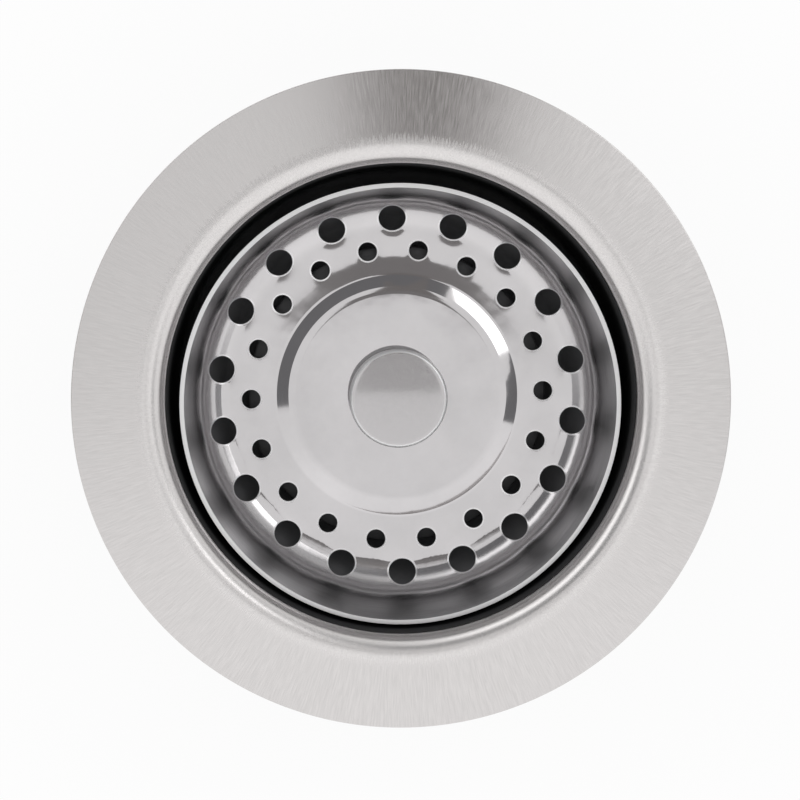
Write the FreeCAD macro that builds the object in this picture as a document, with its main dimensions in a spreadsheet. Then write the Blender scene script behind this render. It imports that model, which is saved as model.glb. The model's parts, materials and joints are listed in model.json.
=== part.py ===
"""Basket strainer for a 3-1/2 inch kitchen sink drain, taken apart into its separate pieces.

The frame has +Z up. Its origin is on the drain's axis, in the plane of the sink deck that the
flange seal presses on. All sizes are in millimetres and angles in degrees.
"""

import FreeCAD, Part
import math
import os
import re

import Sketcher

# Driving sizes of the drain that stays in the sink
DRAIN_SIZES = [
    ("flange_diameter", 114.3, "steel flange, 4-1/2 inch across"),
    ("cover_sheet", 0.8, "thickness of the steel flange"),
    ("cover_edge_gap", 0.3, "from the deck up to the flange's trimmed edge"),
    ("cover_rise", 2.7, "climb of the flange's cone, measured at the mouth"),
    ("flange_overhang", 14.15, "from the collar in the 3-1/2 inch sink hole out to the flange's edge"),
    ("mouth_wall", 2.0, "from the collar's side in to the clear mouth of the rolled lip"),
    ("lip_roll", 3.6, "outer radius of the roll from flange to lip"),
    ("lip_depth", 1.8, "how far the lip reaches below the deck"),
    ("cover_fit_gap", 0.05, "between the flange and what lies under it"),
    ("lip_fit_gap", 0.1, "between the lip and the body's mouth"),
    ("seal_edge_inset", 1.65, "from the flange's edge in to the seal"),
    ("seal_width", 6.2, "width of the wedge-shaped deck seal"),
    ("seal_gap", 0.3, "between the seal and the body's flange"),
    ("body_flange_lift", 0.2, "underside of the body's flange above the deck"),
    ("spigot_length", 8.0, "plain collar below the deck, in the sink hole"),
    ("barrel_thread_depth", 0.8, "depth of the lock nut's thread on the barrel"),
    ("barrel_thread_length", 22.0, "straight threaded stretch of the barrel"),
    ("bore_step", 0.1, "ledge under the lip's end"),
    ("lip_end_gap", 0.2, "between the lip's end and that ledge"),
    ("bore_taper", 1.3, "how much the bore's radius narrows on the way down"),
    ("funnel_height", 10.0, "from the foot of the bore down to the seat"),
    ("funnel_rounding", 4.0, "blend of the bore into the funnel"),
    ("seat_margin", 4.0, "flat seat beyond the stopper's edge"),
    ("bottom_wall", 3.0, "floor of the body under the seat"),
    ("bowl_wall", 2.0, "extra radius of the body's foot around the seat"),
    ("foot_rounding", 1.5, "blend of the outlet into the floor"),
    ("outlet_margin", 4.75, "from the outside of the 1-1/2 inch tailpiece out to the outlet's thread"),
    ("outlet_thread_depth", 0.6, "depth of the outlet's thread"),
    ("outlet_wall", 2.7, "from the thread's root in to the clear bore of the outlet and its washer"),
    ("outlet_length", 19.0, "outlet below the body's floor"),
    ("hub_wall", 3.0, "ring of plastic around the peg's hole"),
    ("spoke_count", 4, "arms of the cross in the outlet"),
    ("spoke_width", 3.0, "each arm of the cross"),
    ("spoke_root", 1.0, "how far an arm runs into the outlet's wall"),
    ("cross_height", 6.0, "depth of the cross"),
    ("cross_gap", 1.2, "from the cross up to the peg's collar"),
]

# Driving sizes of the clamp under the deck and of the outlet's coupling
CLAMP_SIZES = [
    ("deck_gap", 9.0, "from the deck plane down to the gasket, as stored"),
    ("ring_clearance", 0.3, "of the gasket and its washer around the collar"),
    ("thread_clearance", 0.3, "between a nut and the root of the thread it runs on"),
    ("gasket_thickness", 5.0, "rubber gasket under the deck"),
    ("gasket_width", 9.7, "rubber gasket, across its ring"),
    ("gasket_edge", 0.8, "bevel of the gasket's upper edges"),
    ("friction_thickness", 1.2, "fibre washer under the gasket"),
    ("friction_width", 8.7, "fibre washer, across its ring"),
    ("nut_height", 8.0, "lock nut"),
    ("nut_wall", 7.5, "lock nut, across its ring"),
    ("nut_edge", 0.6, "bevel of the lock nut's outer edges"),
    ("lug_reach", 6.0, "how far a lug stands out"),
    ("lug_width", 14.0, "each lug"),
    ("lug_rounding", 2.0, "outer corners of a lug"),
    ("lug_count", 8, "lugs around the lock nut"),
    ("lug_recess", 1.0, "lug's upper face below the nut's"),
    ("pipe_diameter", 38.1, "1-1/2 inch tailpiece"),
    ("pipe_clearance", 0.5, "around the tailpiece"),
    ("tail_washer_thickness", 2.5, "washer that seals the tailpiece"),
    ("coupling_wall", 4.6, "coupling nut, across its ring"),
    ("coupling_height", 16.0, "coupling nut"),
    ("coupling_lip", 2.5, "inward lip under the tailpiece's flange"),
    ("coupling_edge", 0.8, "bevel of the coupling nut's outer edges"),
    ("grip_reach", 1.5, "how far a grip rib stands out"),
    ("grip_width", 3.2, "each grip rib"),
    ("grip_rounding", 0.9, "outer corners of a grip rib"),
    ("grip_count", 16, "grip ribs around the coupling nut"),
]

# Driving sizes of the basket that lifts out
BASKET_SIZES = [
    ("basket_clearance", 2.2, "between the basket's rim and the body's bore"),
    ("hub_play", 1.5, "between the peg and its hole"),
    ("lean_gap", 0.3, "left on the side that the loose basket leans to"),
    ("rim_depth", 6.0, "from the deck down to the basket's rim"),
    ("cup_sheet", 0.8, "thickness of the drawn cup"),
    ("cup_depth", 23.0, "from the rim to the cup's floor"),
    ("cup_taper", 1.4, "how much the wall's radius narrows on the way down"),
    ("cup_corner", 6.0, "inner radius from wall to floor"),
    ("plateau_height", 1.0, "raised middle of the cup's floor"),
    ("plateau_gap", 4.8, "from the inner ring of holes in to the foot of the raised middle"),
    ("plateau_run", 3.5, "width of the raised middle's sloped side"),
    ("plateau_rounding", 2.4, "inner radius of the plateau's two bends"),
    ("hole_count", 18, "drain holes in each ring"),
    ("hole_turn", 11.6, "angle of the outer ring's first hole"),
    ("hole_lag", 10.0, "angle from an outer hole back to an inner one"),
    ("outer_hole", 4.8, "drain hole in the cup's corner"),
    ("outer_hole_inset", 4.3, "from the wall's foot in to the outer ring of holes"),
    ("inner_hole", 3.4, "drain hole in the cup's floor"),
    ("hole_ring_gap", 5.7, "from the outer ring of holes in to the inner ring"),
    ("knob_diameter", 17.6, "knob's head"),
    ("knob_height", 9.0, "knob above the plateau"),
    ("knob_head", 3.2, "height of the knob's head"),
    ("knob_edge", 0.6, "rounding of the knob's edges"),
    ("knob_neck", 10.4, "knob at its waist"),
    ("knob_foot", 13.0, "knob where it stands on the plateau"),
    ("knob_foot_height", 2.2, "from the plateau up to the waist"),
    ("knob_waist", 1.6, "rounding of the waist"),
    ("stem_diameter", 6.0, "stud through the basket"),
    ("stem_fit", 0.1, "around the stud in the knob and the peg"),
    ("stem_clearance", 0.2, "around the stud in the sheet and rubber"),
    ("knob_socket", 5.0, "depth of the stud in the knob"),
    ("socket_end_gap", 0.4, "beyond the stud's two ends"),
    ("peg_socket", 6.0, "depth of the stud in the peg"),
    ("backing_sheet", 0.8, "steel disc over the stopper"),
    ("backing_margin", 0.8, "from that disc to the inner drain holes"),
    ("stopper_diameter", 54.0, "rubber stopper"),
    ("stopper_disc", 3.0, "thickness of the stopper's disc"),
    ("stopper_lip", 2.3, "sealing lip under the stopper's edge"),
    ("stopper_lip_width", 3.0, "sealing lip, across its ring"),
    ("stopper_lip_draft", 0.6, "how much the lip narrows towards the seat"),
    ("stopper_drop", 1.4, "slope of the stopper's upper edge"),
    ("seat_gap", 0.1, "between the lip and the seat"),
    ("retainer_diameter", 24.0, "washer under the stopper"),
    ("retainer_sheet", 1.2, "thickness of that washer"),
    ("peg_diameter", 9.0, "peg that drops into the cross"),
    ("peg_overrun", 1.0, "peg below the cross"),
    ("peg_point", 1.2, "rounding of the peg's end"),
    ("collar_height", 4.0, "hexagon of the peg's collar"),
    ("collar_flats", 13.0, "hexagon, across its flats"),
]

# Places that follow from the driving sizes: radii from the axis and heights above the deck
PLACES = [
    ("flange_radius", "flange_diameter / 2"),
    ("spigot_radius", "flange_radius - flange_overhang"),
    ("mouth_radius", "spigot_radius - mouth_wall"),
    ("cover_grade", "cover_rise / (flange_radius - mouth_radius)"),
    ("cover_crown", "cover_edge_gap + cover_sheet + cover_rise"),
    ("lip_radius", "mouth_radius + cover_sheet"),
    ("lip_crown", "cover_edge_gap + cover_grade * (flange_radius - lip_radius)"),
    ("lip_end", "-lip_depth"),
    ("seal_outer", "flange_radius - seal_edge_inset"),
    ("seal_inner", "seal_outer - seal_width"),
    ("body_flange", "seal_inner - seal_gap"),
    ("under_edge", "cover_edge_gap - cover_fit_gap + cover_grade * flange_radius"),
    ("seal_outer_top", "under_edge - cover_grade * seal_outer"),
    ("seal_inner_top", "under_edge - cover_grade * seal_inner"),
    ("flange_top", "under_edge - cover_grade * body_flange"),
    ("socket_radius", "lip_radius + lip_fit_gap"),
    ("socket_crown", "under_edge - cover_grade * socket_radius"),
    ("socket_roll", "lip_roll - cover_sheet - lip_fit_gap"),
    ("ledge_level", "lip_end - lip_end_gap"),
    ("spigot_end", "-spigot_length"),
    ("barrel_core", "spigot_radius - barrel_thread_depth"),
    ("barrel_end", "spigot_end - barrel_thread_length"),
    ("bore_top", "mouth_radius - bore_step"),
    ("bore_foot", "bore_top - bore_taper"),
    ("rim_level", "-rim_depth"),
    ("rim_radius", "bore_top - basket_clearance"),
    ("basket_lean", "hub_play - lean_gap"),
    ("cup_grade", "cup_taper / cup_depth"),
    ("cup_skew", "cup_sheet * sqrt(1 + cup_grade * cup_grade)"),
    ("cup_inner", "rim_radius - cup_skew"),
    ("floor_level", "rim_level - cup_depth"),
    ("floor_under", "floor_level - cup_sheet"),
    ("corner_inner", "cup_inner - cup_taper"),
    ("corner_outer", "corner_inner + cup_skew - cup_grade * cup_sheet"),
    ("corner_bend", "cup_corner + cup_sheet"),
    ("plateau_level", "floor_level + plateau_height"),
    ("plateau_under", "plateau_level - cup_sheet"),
    ("plateau_slant", "sqrt(plateau_run * plateau_run + plateau_height * plateau_height)"),
    ("plateau_shift", "cup_sheet * (plateau_slant - plateau_run) / plateau_height"),
    ("outer_ring", "corner_inner - outer_hole_inset"),
    ("inner_ring", "outer_ring - hole_ring_gap"),
    ("foot_radius", "inner_ring - plateau_gap"),
    ("top_radius", "foot_radius - plateau_run"),
    ("foot_inner", "foot_radius - plateau_shift"),
    ("top_inner", "top_radius - plateau_shift"),
    ("plateau_bend", "plateau_rounding + cup_sheet"),
    ("stem_radius", "stem_diameter / 2"),
    ("stem_socket", "stem_radius + stem_fit"),
    ("stem_hole", "stem_radius + stem_clearance"),
    ("stem_top", "plateau_level + knob_socket"),
    ("knob_socket_top", "stem_top + socket_end_gap"),
    ("knob_top", "plateau_level + knob_height"),
    ("knob_head_level", "knob_top - knob_head"),
    ("knob_waist_level", "plateau_level + knob_foot_height"),
    ("backing_radius", "inner_ring - inner_hole / 2 - backing_margin"),
    ("backing_under", "floor_under - backing_sheet"),
    ("stopper_radius", "stopper_diameter / 2"),
    ("stopper_edge_top", "backing_under - stopper_drop"),
    ("stopper_under", "backing_under - stopper_disc"),
    ("stopper_end", "stopper_under - stopper_lip"),
    ("stopper_lip_root", "stopper_radius - stopper_lip_width"),
    ("stopper_lip_end", "stopper_lip_root + stopper_lip_draft"),
    ("retainer_under", "stopper_under - retainer_sheet"),
    ("collar_under", "retainer_under - collar_height"),
    ("collar_radius", "collar_flats / sqrt(3)"),
    ("peg_radius", "peg_diameter / 2"),
    ("stem_end", "retainer_under - peg_socket"),
    ("peg_socket_end", "stem_end - socket_end_gap"),
    ("seat_level", "stopper_end - seat_gap"),
    ("seat_radius", "stopper_radius + seat_margin"),
    ("funnel_top", "seat_level + funnel_height"),
    ("floor_end", "seat_level - bottom_wall"),
    ("bowl_foot", "seat_radius + bowl_wall"),
    ("outlet_radius", "pipe_diameter / 2 + outlet_margin"),
    ("outlet_core", "outlet_radius - outlet_thread_depth"),
    ("outlet_inner", "outlet_core - outlet_wall"),
    ("outlet_end", "floor_end - outlet_length"),
    ("cross_top", "collar_under - cross_gap"),
    ("cross_end", "cross_top - cross_height"),
    ("peg_end", "cross_end - peg_overrun"),
    ("hub_hole", "peg_radius + hub_play"),
    ("hub_radius", "hub_hole + hub_wall"),
    ("spoke_reach", "outlet_inner + spoke_root"),
    ("ring_inner", "spigot_radius + ring_clearance"),
    ("gasket_top", "-deck_gap"),
    ("gasket_end", "gasket_top - gasket_thickness"),
    ("gasket_outer", "ring_inner + gasket_width"),
    ("friction_end", "gasket_end - friction_thickness"),
    ("friction_outer", "ring_inner + friction_width"),
    ("nut_end", "friction_end - nut_height"),
    ("nut_inner", "barrel_core + thread_clearance"),
    ("nut_outer", "nut_inner + nut_wall"),
    ("lug_outer", "nut_outer + lug_reach"),
    ("lug_height", "nut_height - lug_recess"),
    ("pipe_hole", "pipe_diameter / 2 + pipe_clearance"),
    ("tail_washer_end", "outlet_end - tail_washer_thickness"),
    ("coupling_end", "tail_washer_end - coupling_lip"),
    ("coupling_top", "coupling_end + coupling_height"),
    ("coupling_inner", "outlet_core + thread_clearance"),
    ("coupling_outer", "coupling_inner + coupling_wall"),
    ("grip_outer", "coupling_outer + grip_reach"),
    ("grip_root", "coupling_outer - coupling_edge"),
    ("grip_height", "coupling_height - 2 * coupling_edge"),
    ("grip_level", "coupling_end + coupling_edge"),
]

doc = FreeCAD.newDocument("sink_strainer")
sheet = doc.addObject("Spreadsheet::Sheet", "sizes")
WORDS = re.compile(r"[a-z]+(?:_[a-z]+)+")


def fill_sheet():
    """Writes the driving sizes as plain numbers, and below them the places that follow."""
    row = 0
    for name, number, note in DRAIN_SIZES + CLAMP_SIZES + BASKET_SIZES:
        row += 1
        sheet.set(f"A{row}", str(number))
        sheet.setAlias(f"A{row}", name)
        sheet.set(f"B{row}", note)
    for name, formula in PLACES:
        row += 1
        sheet.set(f"A{row}", "=" + formula)
        sheet.setAlias(f"A{row}", name)
    doc.recompute()


def bound(formula):
    """The formula with each of its words read from the sheet."""
    return WORDS.sub(lambda word: "sizes." + word.group(), formula)


def number(formula):
    return float(sheet.evalExpression(WORDS.sub(lambda word: "." + word.group(), formula)))


def new_body(label):
    body = doc.addObject("PartDesign::Body", label)
    body.Label = label
    return body


def origin_part(body, role):
    return next(part for part in body.Origin.OriginFeatures if part.Role == role)


def new_sketch(body, name, plane, height=None):
    """A sketch on one of the body's origin planes, or at a height above it."""
    sketch = body.newObject("Sketcher::SketchObject", name)
    sketch.AttachmentSupport = [(origin_part(body, plane), "")]
    sketch.MapMode = "FlatFace"
    if height:
        sketch.setExpression("AttachmentOffset.Base.z", bound(height))
    return sketch


def pin_point(sketch, geometry, point, across, up):
    """Ties a point of the sketch to the sheet. A coordinate of 0 lies on the axis itself."""
    axes = (("DistanceX", -2, across), ("DistanceY", -1, up))
    for kind, axis, formula in axes:
        if formula == "0":
            sketch.addConstraint(Sketcher.Constraint("PointOnObject", geometry, point, axis))
            continue
        tie = Sketcher.Constraint(kind, -1, 1, geometry, point, number(formula))
        index = sketch.addConstraint(tie)
        sketch.setExpression(f"Constraints[{index}]", bound(formula))


def draw_outline(sketch, corners):
    """A closed outline through corners of (across, up) or (across, up, rounding)."""
    places = [FreeCAD.Vector(number(c[0]), number(c[1]), 0) for c in corners]
    count = len(corners)
    starts, ends, arcs = [], [], []
    for i, corner in enumerate(corners):
        here = places[i]
        back = (places[i - 1] - here).normalize()
        ahead = (places[(i + 1) % count] - here).normalize()
        if len(corner) < 3:
            starts.append(here)
            ends.append(here)
            arcs.append(None)
            continue
        half_angle = back.getAngle(ahead) / 2
        radius = number(corner[2])
        before = here + back * (radius / math.tan(half_angle))
        after = here + ahead * (radius / math.tan(half_angle))
        centre = here + (back + ahead).normalize() * (radius / math.sin(half_angle))
        left_turn = back.cross(ahead).z < 0
        first, last = (before, after) if left_turn else (after, before)
        angles = [math.atan2(p.y - centre.y, p.x - centre.x) for p in (first, last)]
        circle = Part.Circle(centre, FreeCAD.Vector(0, 0, 1), radius)
        arcs.append((Part.ArcOfCircle(circle, *angles), left_turn, corner[2]))
        ends.append(before)
        starts.append(after)
    lines = []
    for i in range(count):
        lines.append(sketch.addGeometry(Part.LineSegment(starts[i], ends[(i + 1) % count])))
    for i, corner in enumerate(corners):
        line_in, line_out = lines[i - 1], lines[i]
        if arcs[i] is None:
            sketch.addConstraint(Sketcher.Constraint("Coincident", line_in, 2, line_out, 1))
            pin_point(sketch, line_out, 1, corner[0], corner[1])
            continue
        curve, left_turn, rounding = arcs[i]
        arc = sketch.addGeometry(curve)
        arc_in, arc_out = (1, 2) if left_turn else (2, 1)
        sketch.addConstraint(Sketcher.Constraint("Tangent", line_in, 2, arc, arc_in))
        sketch.addConstraint(Sketcher.Constraint("Tangent", line_out, 1, arc, arc_out))
        index = sketch.addConstraint(Sketcher.Constraint("Radius", arc, number(rounding)))
        sketch.setExpression(f"Constraints[{index}]", bound(rounding))
        tip = sketch.addGeometry(Part.Point(places[i]), True)
        sketch.addConstraint(Sketcher.Constraint("PointOnObject", tip, 1, line_in))
        sketch.addConstraint(Sketcher.Constraint("PointOnObject", tip, 1, line_out))
        pin_point(sketch, tip, 1, corner[0], corner[1])


def draw_circle(sketch, radius, across="0", up="0"):
    centre = FreeCAD.Vector(number(across), number(up), 0)
    circle = sketch.addGeometry(Part.Circle(centre, FreeCAD.Vector(0, 0, 1), number(radius)))
    pin_point(sketch, circle, 3, across, up)
    index = sketch.addConstraint(Sketcher.Constraint("Radius", circle, number(radius)))
    sketch.setExpression(f"Constraints[{index}]", bound(radius))


def turn(body, name, corners):
    """A solid of revolution about the drain's axis, from half of its section."""
    sketch = new_sketch(body, name + "_section", "XZ_Plane")
    draw_outline(sketch, corners)
    feature = body.newObject("PartDesign::Revolution", name)
    feature.Profile = sketch
    feature.ReferenceAxis = (sketch, ["V_Axis"])
    feature.Angle = 360
    body.Tip = feature
    return feature


def raise_pad(body, name, sketch, height, downwards=False):
    feature = body.newObject("PartDesign::Pad", name)
    feature.Profile = sketch
    feature.setExpression("Length", bound(height))
    feature.Reversed = downwards
    body.Tip = feature
    return feature


def cut_through(body, name, sketch):
    """A cut from the sketch down through everything below it."""
    doc.recompute()
    before = body.Shape.Volume
    feature = body.newObject("PartDesign::Pocket", name)
    feature.Profile = sketch
    feature.Type = "ThroughAll"
    body.Tip = feature
    doc.recompute()
    if body.Shape.Volume >= before:
        raise RuntimeError(f"{name} cuts nothing")
    return feature


def repeat_around(body, name, feature, count):
    """Copies of a feature, evenly spaced about the drain's axis."""
    pattern = body.newObject("PartDesign::PolarPattern", name)
    pattern.Originals = [feature]
    pattern.Axis = (origin_part(body, "Z_Axis"), [""])
    pattern.Angle = 360
    pattern.setExpression("Occurrences", bound(count))
    body.Tip = pattern
    return pattern


def flat_ring(label, inner, outer, top, end, edge=None):
    """A washer, with its two upper edges bevelled where an edge is given."""
    body = new_body(label)
    corners = [(inner, end), (outer, end)]
    if edge:
        corners += [(outer, f"{top} - {edge}"), (f"{outer} - {edge}", top)]
        corners += [(f"{inner} + {edge}", top), (inner, f"{top} - {edge}")]
    else:
        corners += [(outer, top), (inner, top)]
    turn(body, label + "_ring", corners)
    return body


def flange_cover():
    """The steel flange: a shallow cone whose inner edge rolls down into the drain's mouth."""
    body = new_body("flange_cover")
    turn(body, "cover", [
        ("flange_radius", "cover_edge_gap"),
        ("flange_radius", "cover_edge_gap + cover_sheet"),
        ("mouth_radius", "cover_crown", "lip_roll"),
        ("mouth_radius", "lip_end"),
        ("lip_radius", "lip_end"),
        ("lip_radius", "lip_crown", "lip_roll - cover_sheet"),
    ])
    return body


def flange_seal():
    """The rubber wedge between the flange's outer part and the sink deck."""
    body = new_body("flange_seal")
    turn(body, "wedge", [
        ("seal_inner", "0"),
        ("seal_outer", "0"),
        ("seal_outer", "seal_outer_top"),
        ("seal_inner", "seal_inner_top"),
    ])
    return body


def strainer_body():
    """The moulded drain: flange, collar, threaded barrel, funnel, stopper seat and outlet."""
    body = new_body("strainer_body")
    turn(body, "moulding", [
        ("socket_radius", "ledge_level"),
        ("socket_radius", "socket_crown", "socket_roll"),
        ("body_flange", "flange_top"),
        ("body_flange", "body_flange_lift"),
        ("spigot_radius", "body_flange_lift"),
        ("spigot_radius", "spigot_end"),
        ("barrel_core", "spigot_end"),
        ("barrel_core", "barrel_end", "funnel_rounding"),
        ("bowl_foot", "floor_end", "foot_rounding"),
        ("outlet_core", "floor_end", "foot_rounding"),
        ("outlet_core", "outlet_end"),
        ("outlet_inner", "outlet_end"),
        ("outlet_inner", "seat_level", "foot_rounding"),
        ("seat_radius", "seat_level", "foot_rounding"),
        ("bore_foot", "funnel_top", "funnel_rounding"),
        ("bore_top", "ledge_level"),
    ])
    hub = new_sketch(body, "hub_outline", "XY_Plane", "cross_top")
    draw_circle(hub, "hub_radius")
    raise_pad(body, "hub", hub, "cross_height", downwards=True)
    spokes = new_sketch(body, "spoke_outline", "XY_Plane", "cross_top")
    draw_outline(spokes, [
        ("hub_hole", "-spoke_width / 2"),
        ("spoke_reach", "-spoke_width / 2"),
        ("spoke_reach", "spoke_width / 2"),
        ("hub_hole", "spoke_width / 2"),
    ])
    arm = raise_pad(body, "spoke", spokes, "cross_height", downwards=True)
    repeat_around(body, "cross", arm, "spoke_count")
    hole = new_sketch(body, "peg_hole_outline", "XY_Plane")
    draw_circle(hole, "hub_hole")
    cut_through(body, "peg_hole", hole)
    return body


def lock_nut():
    """The big nut under the deck, with square lugs to strike or grip."""
    body = new_body("lock_nut")
    turn(body, "nut_ring", [
        ("nut_inner", "nut_end"),
        ("nut_outer - nut_edge", "nut_end"),
        ("nut_outer", "nut_end + nut_edge"),
        ("nut_outer", "friction_end - nut_edge"),
        ("nut_outer - nut_edge", "friction_end"),
        ("nut_inner", "friction_end"),
    ])
    outline = new_sketch(body, "lug_outline", "XY_Plane", "nut_end")
    draw_outline(outline, [
        ("nut_outer - nut_wall / 2", "-lug_width / 2"),
        ("lug_outer", "-lug_width / 2", "lug_rounding"),
        ("lug_outer", "lug_width / 2", "lug_rounding"),
        ("nut_outer - nut_wall / 2", "lug_width / 2"),
    ])
    lug = raise_pad(body, "lug", outline, "lug_height")
    repeat_around(body, "lugs", lug, "lug_count")
    return body


def coupling_nut():
    """The ribbed nut that pulls a tailpiece up against the outlet."""
    body = new_body("coupling_nut")
    turn(body, "coupling_ring", [
        ("pipe_hole", "coupling_end"),
        ("coupling_outer - coupling_edge", "coupling_end"),
        ("coupling_outer", "coupling_end + coupling_edge"),
        ("coupling_outer", "coupling_top - coupling_edge"),
        ("coupling_outer - coupling_edge", "coupling_top"),
        ("coupling_inner", "coupling_top"),
        ("coupling_inner", "tail_washer_end"),
        ("pipe_hole", "tail_washer_end"),
    ])
    outline = new_sketch(body, "grip_outline", "XY_Plane", "grip_level")
    draw_outline(outline, [
        ("grip_root", "-grip_width / 2"),
        ("grip_outer", "-grip_width / 2", "grip_rounding"),
        ("grip_outer", "grip_width / 2", "grip_rounding"),
        ("grip_root", "grip_width / 2"),
    ])
    rib = raise_pad(body, "grip", outline, "grip_height")
    repeat_around(body, "grips", rib, "grip_count")
    return body


def drain_holes(body, name, hole, ring, angle):
    """A ring of round holes, punched straight down through the cup."""
    outline = new_sketch(body, name + "_outline", "XY_Plane")
    across = f"{ring} * cos(({angle}) * 1 deg)"
    up = f"{ring} * sin(({angle}) * 1 deg)"
    draw_circle(outline, f"{hole} / 2", across, up)
    first = cut_through(body, name, outline)
    repeat_around(body, name + "_ring", first, "hole_count")


def basket_cup():
    """The drawn steel cup, with a raised middle and two staggered rings of drain holes."""
    body = new_body("basket_cup")
    turn(body, "drawn_cup", [
        ("stem_hole", "plateau_level"),
        ("stem_hole", "plateau_under"),
        ("top_inner", "plateau_under", "plateau_rounding"),
        ("foot_inner", "floor_under", "plateau_bend"),
        ("corner_outer", "floor_under", "corner_bend"),
        ("rim_radius", "rim_level"),
        ("cup_inner", "rim_level"),
        ("corner_inner", "floor_level", "cup_corner"),
        ("foot_radius", "floor_level", "plateau_rounding"),
        ("top_radius", "plateau_level", "plateau_bend"),
    ])
    drain_holes(body, "outer_holes", "outer_hole", "outer_ring", "hole_turn")
    drain_holes(body, "inner_holes", "inner_hole", "inner_ring", "hole_turn - hole_lag")
    return body


def knob():
    """The turned knob, with a waist for the fingers and a blind hole for the stud."""
    body = new_body("knob")
    turn(body, "turned_knob", [
        ("stem_socket", "plateau_level"),
        ("knob_foot / 2", "plateau_level"),
        ("knob_neck / 2", "knob_waist_level", "knob_waist"),
        ("knob_diameter / 2", "knob_head_level", "knob_edge"),
        ("knob_diameter / 2", "knob_top", "knob_edge"),
        ("0", "knob_top"),
        ("0", "knob_socket_top"),
        ("stem_socket", "knob_socket_top"),
    ])
    return body


def stem():
    body = new_body("stem")
    turn(body, "stud", [
        ("0", "stem_end"),
        ("stem_radius", "stem_end"),
        ("stem_radius", "stem_top"),
        ("0", "stem_top"),
    ])
    return body


def stopper():
    """The rubber stopper: a disc with a sloped edge and a lip that stands on the seat."""
    body = new_body("stopper")
    turn(body, "rubber", [
        ("stem_hole", "stopper_under"),
        ("stopper_lip_root", "stopper_under"),
        ("stopper_lip_end", "stopper_end"),
        ("stopper_radius", "stopper_end"),
        ("stopper_radius", "stopper_edge_top"),
        ("backing_radius", "backing_under"),
        ("stem_hole", "backing_under"),
    ])
    return body


def peg():
    """The hexagon collar that clamps the stopper, with the peg that drops into the cross."""
    body = new_body("peg")
    turn(body, "peg_shank", [
        ("0", "peg_end"),
        ("peg_radius", "peg_end", "peg_point"),
        ("peg_radius", "retainer_under"),
        ("stem_socket", "retainer_under"),
        ("stem_socket", "peg_socket_end"),
        ("0", "peg_socket_end"),
    ])
    outline = new_sketch(body, "collar_outline", "XY_Plane", "retainer_under")
    half_side = "collar_radius / 2"
    half_flats = "collar_flats / 2"
    draw_outline(outline, [
        ("collar_radius", "0"),
        (half_side, half_flats),
        (f"-{half_side}", half_flats),
        ("-collar_radius", "0"),
        (f"-{half_side}", f"-{half_flats}"),
        (half_side, f"-{half_flats}"),
    ])
    draw_circle(outline, "stem_socket")
    raise_pad(body, "collar", outline, "collar_height", downwards=True)
    return body


def check_document():
    """Stops where an object failed to build."""
    doc.recompute()
    for item in doc.Objects:
        if "Invalid" in item.State or "Error" in item.State:
            raise RuntimeError(f"{item.Label} failed: {item.State}")


fill_sheet()

drain_pieces = [
    flange_cover(),
    flange_seal(),
    strainer_body(),
    flat_ring("sink_gasket", "ring_inner", "gasket_outer", "gasket_top", "gasket_end", "gasket_edge"),
    flat_ring("friction_washer", "ring_inner", "friction_outer", "gasket_end", "friction_end"),
    lock_nut(),
    flat_ring("tail_washer", "outlet_inner", "outlet_core", "outlet_end", "tail_washer_end"),
    coupling_nut(),
]

basket_pieces = [
    basket_cup(),
    knob(),
    stem(),
    flat_ring("stopper_backing", "stem_hole", "backing_radius", "floor_under", "backing_under"),
    stopper(),
    flat_ring("stopper_retainer", "stem_hole", "retainer_diameter / 2", "stopper_under", "retainer_under"),
    peg(),
]

# The loose basket leans towards -Y in the play of its peg
for piece in basket_pieces:
    piece.setExpression("Placement.Base.y", bound("-basket_lean"))

check_document()
pieces = drain_pieces + basket_pieces
for piece in pieces:
    if piece.Shape.isNull() or not piece.Shape.isValid():
        raise RuntimeError(f"{piece.Label} has no valid shape")
    if len(piece.Shape.Solids) != 1:
        raise RuntimeError(f"{piece.Label} is {len(piece.Shape.Solids)} solids")

os.makedirs("parts", exist_ok=True)
for piece in pieces:
    piece.Shape.exportStep(f"parts/{piece.Label}.step")
    print(f"{piece.Label}: {piece.Shape.Volume / 1000:.2f} cm3")
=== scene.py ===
import json
import math

import bmesh
import bpy
from mathutils import Matrix, Vector

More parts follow.
